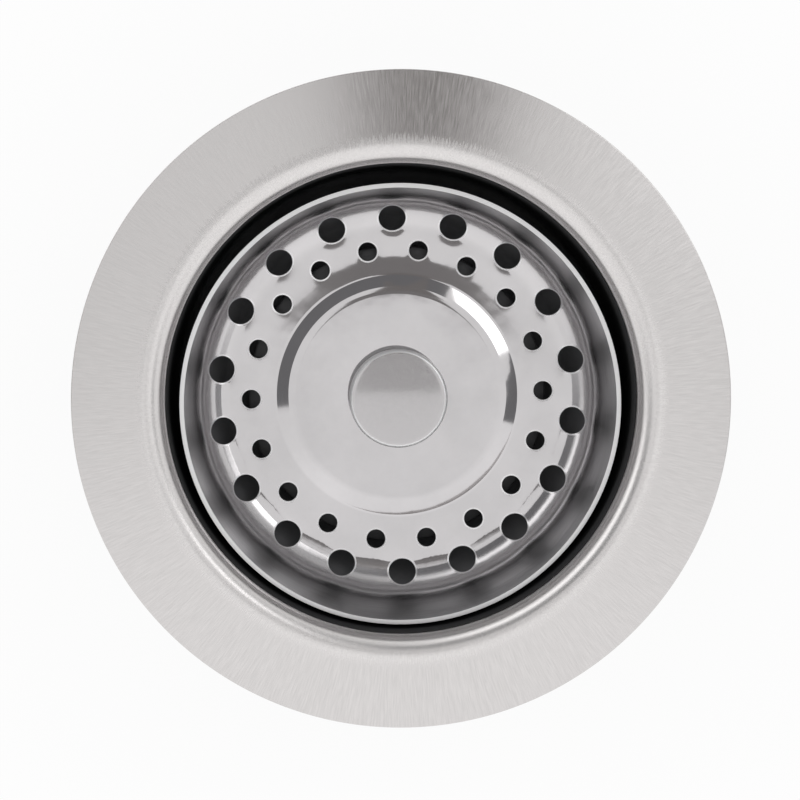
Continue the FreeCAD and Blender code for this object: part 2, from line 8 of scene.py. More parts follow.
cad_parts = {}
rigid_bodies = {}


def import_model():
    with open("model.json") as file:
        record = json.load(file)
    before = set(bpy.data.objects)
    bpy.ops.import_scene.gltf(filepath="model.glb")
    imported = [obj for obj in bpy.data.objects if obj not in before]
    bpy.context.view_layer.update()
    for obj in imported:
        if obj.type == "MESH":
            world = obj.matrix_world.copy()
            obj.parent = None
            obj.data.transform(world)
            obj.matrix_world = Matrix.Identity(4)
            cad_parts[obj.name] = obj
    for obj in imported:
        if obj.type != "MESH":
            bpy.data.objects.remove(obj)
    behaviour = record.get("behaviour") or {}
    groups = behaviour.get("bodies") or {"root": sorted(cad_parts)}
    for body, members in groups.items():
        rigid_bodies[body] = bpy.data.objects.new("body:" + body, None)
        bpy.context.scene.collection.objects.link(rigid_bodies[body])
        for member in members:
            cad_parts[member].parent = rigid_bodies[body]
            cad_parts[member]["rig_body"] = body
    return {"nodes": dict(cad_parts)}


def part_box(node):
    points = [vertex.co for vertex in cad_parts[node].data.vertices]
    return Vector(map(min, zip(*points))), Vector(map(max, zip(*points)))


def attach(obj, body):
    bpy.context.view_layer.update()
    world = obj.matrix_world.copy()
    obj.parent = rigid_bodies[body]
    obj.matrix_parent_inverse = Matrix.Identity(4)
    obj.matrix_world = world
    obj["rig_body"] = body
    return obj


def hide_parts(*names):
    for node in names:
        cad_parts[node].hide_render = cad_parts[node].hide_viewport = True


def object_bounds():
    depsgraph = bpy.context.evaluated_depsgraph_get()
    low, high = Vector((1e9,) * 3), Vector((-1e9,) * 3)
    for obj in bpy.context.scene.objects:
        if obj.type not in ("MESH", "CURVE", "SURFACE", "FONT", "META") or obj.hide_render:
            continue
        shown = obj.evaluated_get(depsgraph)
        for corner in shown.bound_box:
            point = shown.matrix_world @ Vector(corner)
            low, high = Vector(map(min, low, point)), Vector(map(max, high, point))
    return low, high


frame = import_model()
cad_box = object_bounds()
scene = bpy.context.scene

# Sizes are in millimetres, radii from a piece's axis and heights above the sink deck
MM = 0.001
FACETS = 288  # around a turned piece, 16 for each of the basket's 18 holes
SMALL_FACETS = 96  # around a hub, a peg and each turn of a thread
EDGE_FACETS = 3  # across a small rounding
SECTORS = 12  # equal parts of a turned skin
WELD = 0.0005  # corners of a turned skin that are nearer than this become one
SHARP = 40  # degrees between two faces from which their edge is shaded as an edge
ROUND = {"offset_type": "OFFSET", "profile": 0.5, "material": -1}


def middle(node):
    """Where the axis of a turned node stands."""
    low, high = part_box(node)
    return Vector(((low.x + high.x) / 2, (low.y + high.y) / 2, 0))


def levels(node):
    """Lowest and highest level of a node."""
    low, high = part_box(node)
    return low.z / MM, high.z / MM


def reach(node):
    """Greatest radius of a node about its own axis."""
    low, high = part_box(node)
    return (high.y - low.y) / 2 / MM


# Turned forms

def section(corners, closed=True):
    """Half of a turned piece's section as a wire: corners of (radius, height) or with a rounding."""
    bm = bmesh.new()
    places = [Vector((corner[0] * MM, 0, corner[1] * MM)) for corner in corners]
    tips = [bm.verts.new(place) for place in places]
    for start, end in zip(tips, tips[1:] + tips[:1] if closed else tips[1:]):
        bm.edges.new((start, end))
    for i, corner in enumerate(corners):
        if len(corner) < 3:
            continue
        rounding = corner[2]
        back = places[i - 1] - places[i]
        ahead = places[(i + 1) % len(places)] - places[i]
        opening = back.angle(ahead)
        in_quarter = 3 + 4 * math.sqrt(rounding)  # facets in a quarter turn, more for a wide rounding
        facets = in_quarter * (math.pi - opening) / (math.pi / 2)
        bmesh.ops.bevel(
            bm, geom=[tips[i]], offset=rounding * MM / math.tan(opening / 2), affect="VERTICES",
            segments=max(EDGE_FACETS, round(facets)), **ROUND)
    return bm


def around(bm, count):
    """Copies a form evenly about the Z axis."""
    bmesh.ops.spin(
        bm, geom=bm.verts[:] + bm.edges[:] + bm.faces[:], axis=(0, 0, 1),
        angle=2 * math.pi * (count - 1) / count, steps=count - 1, use_duplicate=True)
    return bm


def turn(bm, facets=FACETS):
    """Turns the wire about the Z axis into a skin, in equal sectors, closed at its seams and poles."""
    bmesh.ops.spin(
        bm, geom=bm.verts[:] + bm.edges[:], axis=(0, 0, 1), angle=2 * math.pi / SECTORS,
        steps=facets // SECTORS)
    around(bm, SECTORS)
    bmesh.ops.remove_doubles(bm, verts=bm.verts, dist=WELD * MM)
    bmesh.ops.recalc_face_normals(bm, faces=bm.faces)
    return bm


def turned(corners, facets=FACETS):
    """A closed form turned from the corners of its half section."""
    return turn(section(corners), facets)


def join(bm, *others):
    """Moves the faces of other forms into the first one."""
    for other in others:
        carrier = bpy.data.meshes.new("carrier")
        other.to_mesh(carrier)
        other.free()
        bm.from_mesh(carrier)
        bpy.data.meshes.remove(carrier)
    return bm


def rotate(bm, degrees, axis="Z"):
    """Turns a whole form about an axis of the frame."""
    bmesh.ops.rotate(bm, matrix=Matrix.Rotation(math.radians(degrees), 3, axis), verts=bm.verts)


def round_edges(bm, edge):
    """Rounds all the edges of a form."""
    bmesh.ops.bevel(
        bm, geom=bm.edges[:], offset=edge * MM, affect="EDGES", segments=EDGE_FACETS, **ROUND)


def only_verts(parts):
    """The corner points among the parts that a mesh operation gives back."""
    return [part for part in parts if isinstance(part, bmesh.types.BMVert)]


THREAD_SINK = 0.15  # how far a ridge reaches into the wall that it stands on
RIDGE_FOOT = 0.36  # half of a ridge's width at its foot, as a share of the pitch
RIDGE_CREST = 0.12


def thread(root, crest, pitch, start, turns):
    """A right-hand thread's ridge, with a flat crest, that starts low and runs out at both ends."""
    bm = bmesh.new()
    sunk = root + THREAD_SINK * math.copysign(1, root - crest)
    outline = [(sunk, -RIDGE_FOOT), (crest, -RIDGE_CREST), (crest, RIDGE_CREST), (sunk, RIDGE_FOOT)]
    first = [bm.verts.new((radius * MM, 0, (start + share * pitch) * MM)) for radius, share in outline]
    bm.faces.new(first)
    swept = bmesh.ops.spin(
        bm, geom=bm.verts[:] + bm.edges[:] + bm.faces[:], axis=(0, 0, 1),
        dvec=(0, 0, pitch * MM / SMALL_FACETS), angle=2 * math.pi * turns,
        steps=round(turns * SMALL_FACETS))
    for vert in first + only_verts(swept["geom_last"]):
        flat = Vector((vert.co.x, vert.co.y, 0))
        vert.co += flat.normalized() * (sunk * MM - flat.length)
    bmesh.ops.recalc_face_normals(bm, faces=bm.faces)
    return bm


def block(size, place, edge):
    """A box with rounded edges."""
    bm = bmesh.new()
    bmesh.ops.create_cube(bm, size=1)
    bmesh.ops.scale(bm, vec=Vector(size) * MM, verts=bm.verts)
    bmesh.ops.translate(bm, vec=Vector(place) * MM, verts=bm.verts)
    round_edges(bm, edge)
    return bm


def even_shading(made):
    """Shades a rounded edge as part of the larger faces beside it."""
    made.modifiers.new("even shading", "WEIGHTED_NORMAL").keep_sharp = True


def piece(name, bm, node, finish, even=True):
    """The form as a finished piece that stands for a node and rides on the node's body."""
    bmesh.ops.translate(bm, vec=middle(node), verts=bm.verts)
    mesh = bpy.data.meshes.new(name)
    bm.to_mesh(mesh)
    bm.free()
    mesh.shade_smooth()
    mesh.set_sharp_from_angle(angle=math.radians(SHARP))
    made = bpy.data.objects.new(name, mesh)
    scene.collection.objects.link(made)
    mesh.materials.append(finish)
    if even:
        even_shading(made)
    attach(made, frame["nodes"][node]["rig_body"])
    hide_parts(node)
    return made


# Shader helpers

def new_material(name, metallic):
    """A material, its tree and its shader."""
    made = bpy.data.materials.new(name)
    made.use_nodes = True
    shader = made.node_tree.nodes["Principled BSDF"]
    shader.inputs["Metallic"].default_value = metallic
    return made, made.node_tree, shader


def node(tree, kind, inputs=None, **settings):
    """A shader node with its settings, and its inputs as values or as links from other sockets."""
    made = tree.nodes.new(kind)
    for name, value in settings.items():
        setattr(made, name, value)
    for name, value in (inputs or {}).items():
        if isinstance(value, bpy.types.NodeSocket):
            tree.links.new(value, made.inputs[name])
        else:
            made.inputs[name].default_value = value
    return made


def link(tree, inputs, sources):
    """Links each source to the input of its name."""
    for label, source in sources.items():
        tree.links.new(source, inputs[label])


def maths(tree, operation, first, second=0.0):
    """One sum with one or two values."""
    return node(tree, "ShaderNodeMath", {0: first, 1: second}, operation=operation).outputs[0]


def in_mm(tree, length):
    """A length of the frame in millimetres."""
    return maths(tree, "MULTIPLY", length, 1 / MM)


def noise(tree, place, scale, detail, roughness=0.5):
    """A noise mask with its middle at 0.5."""
    inputs = {"Vector": place, "Scale": scale, "Detail": detail, "Roughness": roughness}
    return node(tree, "ShaderNodeTexNoise", inputs).outputs[0]


def shade(tree, value, low, high, start=0.3, end=0.7):
    """A value or colour that goes from low to high as the mask goes from start to end."""
    if isinstance(low, (int, float)):
        limits = {"Value": value, "From Min": start, "From Max": end, "To Min": low, "To Max": high}
        return node(tree, "ShaderNodeMapRange", limits).outputs[0]
    ramp = node(tree, "ShaderNodeValToRGB", {0: value})
    first, last = ramp.color_ramp.elements
    first.position, first.color = start, (*low, 1)
    last.position, last.color = end, (*high, 1)
    return ramp.outputs[0]


def mix(tree, factor, first, second, kind="FLOAT"):
    """First where the factor is 0, second where it is 1."""
    at = {"FLOAT": (2, 3, 0), "RGBA": (6, 7, 2)}[kind]
    made = node(tree, "ShaderNodeMix", {0: factor, at[0]: first, at[1]: second}, data_type=kind)
    return made.outputs[at[2]]


def add_bump(tree, shader, height, strength, distance):
    """Bump from a mask of heights, with the distance in millimetres."""
    inputs = {"Height": height, "Strength": strength, "Distance": distance * MM}
    link(tree, shader.inputs, {"Normal": node(tree, "ShaderNodeBump", inputs).outputs[0]})


def add_grooves(tree, shader, strength):
    """Draws reflections out as grooves around the Z axis do."""
    shader.inputs["Anisotropic"].default_value = strength
    grooves = node(tree, "ShaderNodeTangent", direction_type="RADIAL", axis="Z")
    link(tree, shader.inputs, {"Tangent": grooves.outputs[0]})


def new_group(name, inputs, outputs):
    """An empty shader group whose named inputs and outputs are all plain values."""
    group = bpy.data.node_groups.new(name, "ShaderNodeTree")
    for label, value in inputs.items():
        socket = group.interface.new_socket(label, in_out="INPUT", socket_type="NodeSocketFloat")
        socket.default_value = value
    for label in outputs:
        group.interface.new_socket(label, in_out="OUTPUT", socket_type="NodeSocketFloat")
    ways_in = group.nodes.new("NodeGroupInput")
    ways_out = group.nodes.new("NodeGroupOutput")
    return group, ways_in.outputs, ways_out.inputs


def use_group(tree, group, **values):
    """The outputs of a group that is placed in a tree with some of its inputs set."""
    made = tree.nodes.new("ShaderNodeGroup")
    made.node_tree = group
    for label, value in values.items():
        made.inputs[label].default_value = value
    return made.outputs


def about_axis(group, axis_y):
    """Radius from a piece's axis, heading from it, and height, all read from Object coordinates."""
    place = node(group, "ShaderNodeTexCoord").outputs["Object"]
    shift = node(group, "ShaderNodeCombineXYZ", {1: axis_y}).outputs[0]
    local = node(group, "ShaderNodeVectorMath", {0: place, 1: shift}, operation="SUBTRACT").outputs[0]
    flat = node(group, "ShaderNodeVectorMath", {0: local, 1: (1, 1, 0)}, operation="MULTIPLY").outputs[0]
    radius = node(group, "ShaderNodeVectorMath", {0: flat}, operation="LENGTH").outputs["Value"]
    heading = node(group, "ShaderNodeVectorMath", {0: flat}, operation="NORMALIZE").outputs[0]
    height = node(group, "ShaderNodeSeparateXYZ", {0: local}).outputs[2]
    return radius, heading, height


def streaks(group, heading, around_scale, along, along_scale, detail, roughness):
    """Noise that is stretched along or around the axis, as its two scales say."""
    scaled = node(
        group, "ShaderNodeVectorMath", {0: heading, "Scale": around_scale}, operation="SCALE").outputs[0]
    parts = node(group, "ShaderNodeSeparateXYZ", {0: scaled}).outputs
    third = maths(group, "MULTIPLY", along, along_scale)
    place = node(group, "ShaderNodeCombineXYZ", {0: parts[0], 1: parts[1], 2: third}).outputs[0]
    return noise(group, place, 1.0, detail, roughness)


def brush_group():
    """Fine lines that run outwards from the axis, and the radius and level in millimetres."""
    group, given, out = new_group(
        "radial brush lines", {"lines": 260.0, "run": 120.0}, ["line", "radius", "level"])
    radius, heading, height = about_axis(group, 0.0)
    link(group, out, {
        "line": streaks(group, heading, given["lines"], radius, given["run"], 1.5, 0.5),
        "radius": in_mm(group, radius),
        "level": in_mm(group, height)})
    return group


SPOT_SHARE = 0.04  # scale of a moulded skin's spots, as a share of its grain's
SCRATCH_SCALE = 32000.0  # finer than a pixel, so that scratches only haze the shine
DRAW_LINES = (4.0, 2600.0)  # scales of the lines on drawn sheet, around it and along it


def skin_group():
    """The fine uneven skin of a moulded piece: a height for bump and a mask of duller spots."""
    group, given, out = new_group("moulded skin", {"grain": 2500.0}, ["height", "dull"])
    place = node(group, "ShaderNodeTexCoord").outputs["Object"]
    broad = maths(group, "MULTIPLY", given["grain"], SPOT_SHARE)
    link(group, out, {
        "height": noise(group, place, given["grain"], 2.0),
        "dull": noise(group, place, broad, 4.0, 0.6)})
    return group


def draw_group():
    """Marks of drawing and buffing: waves for bump, smears, lines around, and fine scratches."""
    group, given, out = new_group(
        "drawn sheet", {"waves": 90.0, "smears": 60.0, "axis": 0.0},
        ["height", "smear", "line", "scratch", "radius", "level"])
    place = node(group, "ShaderNodeTexCoord").outputs["Object"]
    radius, heading, height = about_axis(group, given["axis"])
    along = maths(group, "ADD", radius, height)
    link(group, out, {
        "scratch": noise(group, place, SCRATCH_SCALE, 1.0),
        "height": noise(group, place, given["waves"], 2.5, 0.4),
        "smear": noise(group, place, given["smears"], 5.0, 0.62),
        "line": streaks(group, heading, DRAW_LINES[0], along, DRAW_LINES[1], 3.0, 0.6),
        "radius": in_mm(group, radius),
        "level": in_mm(group, height)})
    return group


HOLE_COUNT = 18  # in each of the basket's two rings
HALF_PITCH = math.pi / HOLE_COUNT
# A ring's radius, a hole's size across and along the ring, and the angle of the first hole in degrees
OUTER_HOLES = (32.1, (4.5, 4.9), 11.6)
INNER_HOLES = (26.5, (3.4, 3.4), 1.6)


def hole_group():
    """How far, in millimetres, a place lies outside the edge of the nearest hole in a ring of holes."""
    group, given, out = new_group(
        "punched holes", {"axis": 0.0, "ring": 30.0, "first": 0.0, "across": 4.0, "along": 4.0},
        ["from edge"])
    radius, heading, _ = about_axis(group, given["axis"])
    parts = node(group, "ShaderNodeSeparateXYZ", {0: heading}).outputs
    angle = maths(group, "SUBTRACT", maths(group, "ARCTAN2", parts[1], parts[0]), given["first"])
    limits = {0: angle, 1: HALF_PITCH, 2: -HALF_PITCH}
    off = node(group, "ShaderNodeMath", limits, operation="WRAP").outputs[0]
    far = in_mm(group, radius)
    outwards = maths(group, "MULTIPLY", far, maths(group, "COSINE", off))
    across = maths(group, "SUBTRACT", outwards, given["ring"])
    along = maths(group, "MULTIPLY", far, maths(group, "SINE", off))
    oval = node(group, "ShaderNodeCombineXYZ", {
        0: maths(group, "DIVIDE", across, given["across"]),
        1: maths(group, "DIVIDE", along, given["along"])}).outputs[0]
    reached = node(group, "ShaderNodeVectorMath", {0: oval}, operation="LENGTH").outputs["Value"]
    size = maths(group, "MULTIPLY", maths(group, "ADD", given["across"], given["along"]), 0.5)
    from_edge = maths(group, "MULTIPLY", maths(group, "SUBTRACT", reached, 0.5), size)
    link(group, out, {"from edge": from_edge})
    return group


BRUSH_LINES = brush_group()
MOULDED_SKIN = skin_group()
DRAWN_SHEET = draw_group()
PUNCHED_HOLES = hole_group()


# Materials: pairs are a mask's low and high end

FINE_BUMP = 0.1
SHEET_BUMP = 0.5
LIP_TO_CONE = (46.4, 48.0)  # radii between which the lip's grain gives way to the brush lines
RAGGED = 4.0  # how far the brush lines reach past each other there
CONE_LINES = (0.638, 0.618, 0.612), (0.703, 0.681, 0.675)
# The lip's grain, lighter than the cone: the grain is real, the lighter tone is painted highlight on the
# roll
LIP_GRAIN_AND_HIGHLIGHT = (0.71, 0.688, 0.681), (0.81, 0.786, 0.778)
LIP_RELIEF = 3.0  # height of the lip's grain over that of the brush lines
CONE_ROUGHNESS = 0.16, 0.21
LIP_ROUGHNESS = 0.26, 0.5
LIP_SCRATCHES = 0.44, 0.56  # where the mask of scratches starts and ends to count


def brushed_flange_steel():
    """Brush lines that run outwards on the cone, and a satin grain on the lip, whose lighter tone is
    painted highlight.
    """
    made, tree, shader = new_material("brushed flange steel", 1)
    brush = use_group(tree, BRUSH_LINES, lines=235.0, run=340.0)
    skin = use_group(tree, MOULDED_SKIN, grain=3600.0)
    marks = use_group(tree, DRAWN_SHEET)
    ragged = maths(tree, "ADD", brush["radius"], maths(tree, "MULTIPLY", brush["line"], RAGGED))
    cone = shade(tree, ragged, 0.0, 1.0, *LIP_TO_CONE)
    lines = shade(tree, brush["line"], *CONE_LINES)
    grain = shade(tree, skin["height"], *LIP_GRAIN_AND_HIGHLIGHT)
    satin = shade(tree, marks["scratch"], *LIP_ROUGHNESS, *LIP_SCRATCHES)
    sheen = shade(tree, brush["line"], *CONE_ROUGHNESS)
    link(tree, shader.inputs, {
        "Base Color": mix(tree, cone, grain, lines, "RGBA"),
        "Roughness": mix(tree, cone, satin, sheen)})
    relief = mix(tree, cone, maths(tree, "MULTIPLY", skin["height"], LIP_RELIEF), brush["line"])
    add_bump(tree, shader, relief, strength=0.022, distance=FINE_BUMP)
    add_grooves(tree, shader, strength=0.5)
    return made


SMEAR_SHADE = 0.93  # of a polished steel's colour, in its smears
RIM_HIGHLIGHT_FADE = 0.12  # over which the painted highlight on the knob's rim starts
# Painted highlight: a light ring on the knob's rounded rim, where light catches it
RIM_HIGHLIGHT_TONES = (0.93, 0.93, 0.93), (0.97, 0.97, 0.97)
RIM_HIGHLIGHT_ROUGHNESS = 0.35, 0.6
TURNED_SCRATCHES = 0.46, 0.54


def polished_steel(name, colour, shine, haze, waves, depth, axis=0.0, highlight_from=None):
    """Bright turned steel with waves, smears and a haze of fine scratches, with a painted highlight,
    lighter and rougher, from a radius on.
    """
    made, tree, shader = new_material(name, 1)
    marks = use_group(tree, DRAWN_SHEET, waves=waves, axis=axis)
    tone = shade(tree, marks["smear"], tuple(SMEAR_SHADE * c for c in colour), colour)
    gloss = shade(tree, marks["scratch"], shine, haze, *TURNED_SCRATCHES)
    # From the given radius on, a painted highlight ring, lighter and rougher
    if highlight_from:
        edge = shade(tree, marks["radius"], 0.0, 1.0, highlight_from - RIM_HIGHLIGHT_FADE, highlight_from + RIM_HIGHLIGHT_FADE / 2)
        tone = mix(tree, edge, tone, shade(tree, marks["smear"], *RIM_HIGHLIGHT_TONES), "RGBA")
        gloss = mix(tree, edge, gloss, shade(tree, marks["scratch"], *RIM_HIGHLIGHT_ROUGHNESS))
    link(tree, shader.inputs, {"Base Color": tone, "Roughness": gloss})
    add_bump(tree, shader, marks["height"], depth, SHEET_BUMP)
    return made


FLOOR_TO_WALL = (-28.0, -23.0)  # levels between which the cup's floor gives way to its wall
FLOOR_TO_CORNER = (30.4, 33.2)  # radii between which the floor loses its shine
HOLE_HIGHLIGHT = (0.16, 0.34)  # where the painted highlight ring around a hole fades, from the hole's edge; the ring is also satin
FLOOR_SMEARS = (0.622, 0.605, 0.612), (0.69, 0.67, 0.678)
# The wall's lines are drawing marks; their tone, darker than the floor's, is painted shade in the deep cup
WALL_LINES_AND_SHADE = (0.475, 0.475, 0.483), (0.635, 0.635, 0.645)
# Painted highlight: the light tone of the ring around each hole, where light catches the punched edge
HOLE_HIGHLIGHT_TONE = (0.93, 0.92, 0.925, 1)
# Painted highlight: the light tone of the cut edges, the rim's and the holes'
CUT_HIGHLIGHT_TONES = (0.90, 0.895, 0.895), (0.96, 0.955, 0.955)
FLOOR_ROUGHNESS = 0.06, 0.035
CORNER_ROUGHNESS = 0.16, 0.3
WALL_ROUGHNESS = 0.3, 0.6
WALL_SCRATCHES = 0.46, 0.58
CUT_ROUGHNESS = 0.3, 0.48


def drawn_basket_steel():
    """Polished sheet whose wall, drawn deepest, has lines around it, a darker tone that is painted shade,
    and reflects less sharply.
    """
    made, tree, shader = new_material("drawn basket steel", 1)
    axis = middle("basket_cup").y
    marks = use_group(tree, DRAWN_SHEET, waves=120.0, smears=70.0, axis=axis)
    wall = shade(tree, marks["level"], 0.0, 1.0, *FLOOR_TO_WALL)
    corner = shade(tree, marks["radius"], 0.0, 1.0, *FLOOR_TO_CORNER)
    edges = [
        use_group(
            tree, PUNCHED_HOLES, axis=axis, ring=ring_radius, first=math.radians(first),
            across=across, along=along)["from edge"]
        for ring_radius, (across, along), first in (OUTER_HOLES, INNER_HOLES)]
    # A painted highlight ring around each hole, lighter and satin
    hole_highlight = shade(tree, maths(tree, "MINIMUM", *edges), 1.0, 0.0, *HOLE_HIGHLIGHT)
    smears = shade(tree, marks["smear"], *FLOOR_SMEARS)
    lines = shade(tree, marks["line"], *WALL_LINES_AND_SHADE)
    sheet = mix(tree, wall, smears, lines, "RGBA")
    mirror = shade(tree, marks["smear"], *FLOOR_ROUGHNESS)
    gloss = mix(tree, corner, mirror, shade(tree, marks["scratch"], *CORNER_ROUGHNESS))
    haze = shade(tree, marks["scratch"], *WALL_ROUGHNESS, *WALL_SCRATCHES)
    satin = shade(tree, marks["scratch"], *CUT_ROUGHNESS)
    link(tree, shader.inputs, {
        "Base Color": mix(tree, hole_highlight, sheet, HOLE_HIGHLIGHT_TONE, "RGBA"),
        "Roughness": mix(tree, hole_highlight, mix(tree, wall, gloss, haze), satin)})
    add_bump(tree, shader, marks["height"], strength=0.05, distance=SHEET_BUMP)
    add_grooves(tree, shader, strength=0.9)
    return made


def cut_edge_steel():
    """The satin edge that trimming and punching leave on the sheet, whose light tone is painted highlight.
    """
    made, tree, shader = new_material("cut edge steel", 1)
    marks = use_group(tree, DRAWN_SHEET)
    link(tree, shader.inputs, {
        "Base Color": shade(tree, marks["smear"], *CUT_HIGHLIGHT_TONES),
        "Roughness": shade(tree, marks["scratch"], *CUT_ROUGHNESS)})
    return made


BORE_WALL = (40.9, 41.1)  # the grey lies inside this radius
BORE_GREY_LEVELS = (-26.0, -16.0)  # and fades upwards between these
# The bore's top, a little lighter than the body's black: painted light in the gap around the basket
BORE_TONE = (0.03, 0.03, 0.031, 1)
BORE_GREY_SHADE = 0.7  # of the bore's grey, where the skin's dull mask is low
DULLER = 0.12  # how much rougher a skin's dull spots are
SPOT_GAIN = 1.35  # how much lighter they are, as a factor and a step
SPOT_LIFT = 0.002


def moulded(name, colour, dull, grain, depth, shine=0.5, bore_grey=None):
    """Plastic or rubber with a moulded skin, and if asked a grey inside the bore that is lighter deep down.
    """
    made, tree, shader = new_material(name, 0)
    shader.inputs["Specular IOR Level"].default_value = shine
    skin = use_group(tree, MOULDED_SKIN, grain=grain)
    lighter = tuple(SPOT_GAIN * c + SPOT_LIFT for c in colour)
    tone = shade(tree, skin["dull"], colour, lighter)
    if bore_grey:
        place = use_group(tree, BRUSH_LINES)
        inside = shade(tree, place["radius"], 1.0, 0.0, *BORE_WALL)
        low = shade(tree, place["level"], 1.0, 0.0, *BORE_GREY_LEVELS)
        bore_greyed = shade(tree, skin["dull"], tuple(BORE_GREY_SHADE * c for c in bore_grey), bore_grey)
        bore = mix(tree, low, BORE_TONE, bore_greyed, "RGBA")
        tone = mix(tree, inside, tone, bore, "RGBA")
    link(tree, shader.inputs, {
        "Base Color": tone,
        "Roughness": shade(tree, skin["dull"], dull, dull + DULLER)})
    add_bump(tree, shader, skin["height"], depth, FINE_BUMP)
    return made


FLANGE_STEEL = brushed_flange_steel()
BASKET_STEEL = drawn_basket_steel()
EDGE_STEEL = cut_edge_steel()
# Its rim, from the given radius out, has a painted highlight
KNOB_STEEL = polished_steel(
    "turned knob steel", (0.655, 0.637, 0.643), shine=0.05, haze=0.42, waves=90.0, depth=0.03,
    axis=middle("knob").y, highlight_from=8.32)
STEM_STEEL = polished_steel(
    "turned stem steel", (0.58, 0.57, 0.56), shine=0.18, haze=0.4, waves=300.0, depth=0.05)
BODY_PLASTIC = moulded(
    "moulded drain plastic", (0.022, 0.022, 0.023), dull=0.7, grain=2200.0, depth=0.25, shine=0.1,
    bore_grey=(0.15, 0.15, 0.155))
NUT_PLASTIC = moulded("moulded nut plastic", (0.028, 0.028, 0.03), dull=0.36, grain=2200.0, depth=0.25)
TAIL_PLASTIC = moulded("milky washer plastic", (0.70, 0.70, 0.67), dull=0.34, grain=1500.0, depth=0.1)
RUBBER = moulded("black rubber", (0.026, 0.026, 0.027), dull=0.5, grain=3200.0, depth=0.3)
# The stopper's rubber is lighter than the black rubber: painted sheen, for the light that it reflects up
# through the holes
STOPPER_RUBBER = moulded("stopper rubber with painted sheen", (0.055, 0.055, 0.057), dull=0.4, grain=3200.0, depth=0.3)
FIBRE = moulded("pressed fibre", (0.26, 0.17, 0.10), dull=0.78, grain=1400.0, depth=0.6, shine=0.2)


# The drain that stays in the sink

FLANGE_SHEET = 0.8
FLANGE_EDGE = 0.18  # rounding of the trimmed edge
FLANGE_LIFT = 0.3  # height of the outer edge over the deck
MOUTH = 41.0
FLANGE_CROWN = 3.8  # where the cone would meet the mouth's wall
LIP_ROLL = 3.4


def brushed_flange():
    """The flange's shallow cone, which rolls down into the mouth."""
    radius = reach("flange_cover")
    lip_end = levels("flange_cover")[0]
    grade = (FLANGE_CROWN - FLANGE_LIFT - FLANGE_SHEET) / (radius - MOUTH)
    lip = MOUTH + FLANGE_SHEET
    form = turned([
        (radius, FLANGE_LIFT, FLANGE_EDGE),
        (radius, FLANGE_LIFT + FLANGE_SHEET, FLANGE_EDGE),
        (MOUTH, FLANGE_CROWN, LIP_ROLL),
        (MOUTH, lip_end, FLANGE_EDGE),
        (lip, lip_end, FLANGE_EDGE),
        (lip, FLANGE_LIFT + grade * (radius - lip), LIP_ROLL - FLANGE_SHEET),
    ])
    piece("brushed_flange", form, "flange_cover", FLANGE_STEEL)


SEAL_WIDTH = 6.2
SEAL_EDGE = 0.53  # height of the wedge's thin outer edge


def deck_seal():
    """The rubber wedge under the flange."""
    low, high = levels("flange_seal")
    outer = reach("flange_seal")
    inner = outer - SEAL_WIDTH
    form = turned([
        (inner, low, 0.3),
        (outer, low, 0.15),
        (outer, low + SEAL_EDGE, 0.15),
        (inner, high, 0.3),
    ])
    piece("deck_seal", form, "flange_seal", RUBBER)


# The drain body from its top down: outside, then inside, then the cross
SOCKET = 41.9  # around the flange's lip
SOCKET_TOP = 2.8
BODY_FLANGE = 49.0
BODY_FLANGE_LEVELS = (0.2, 1.61)  # of its outer edge
COLLAR = 43.0  # in the sink's hole, and the crest of the barrel's thread
COLLAR_END = -8.0
BARREL_ROOT = 42.2
BARREL_END = -30.0
BARREL_PITCH = 3.0
BARREL_THREAD_START = -27.2
FUNNEL_FOOT = 33.0
FUNNEL_END = -39.0
OUTLET_ROOT = 23.2
OUTLET_CREST = 23.8
OUTLET_PITCH = 2.2
OUTLET_THREAD_START = -57.1
BORE = 40.9
LEDGE = -2.0  # under the lip's end
BORE_FOOT = 39.6
BORE_END = -26.0
SEAT = 31.0
SEAT_LEVEL = -36.0
OUTLET_BORE = 20.5
CROSS_TOP = -40.0
CROSS_END = -46.0
CROSS_EDGE = 0.4
HUB_BORE = 6.0
HUB_WALL = 9.0
ARM_ROOT = 8.4
ARM_END = 21.3
ARM_WIDTH = 3.0
ARM_COUNT = 4


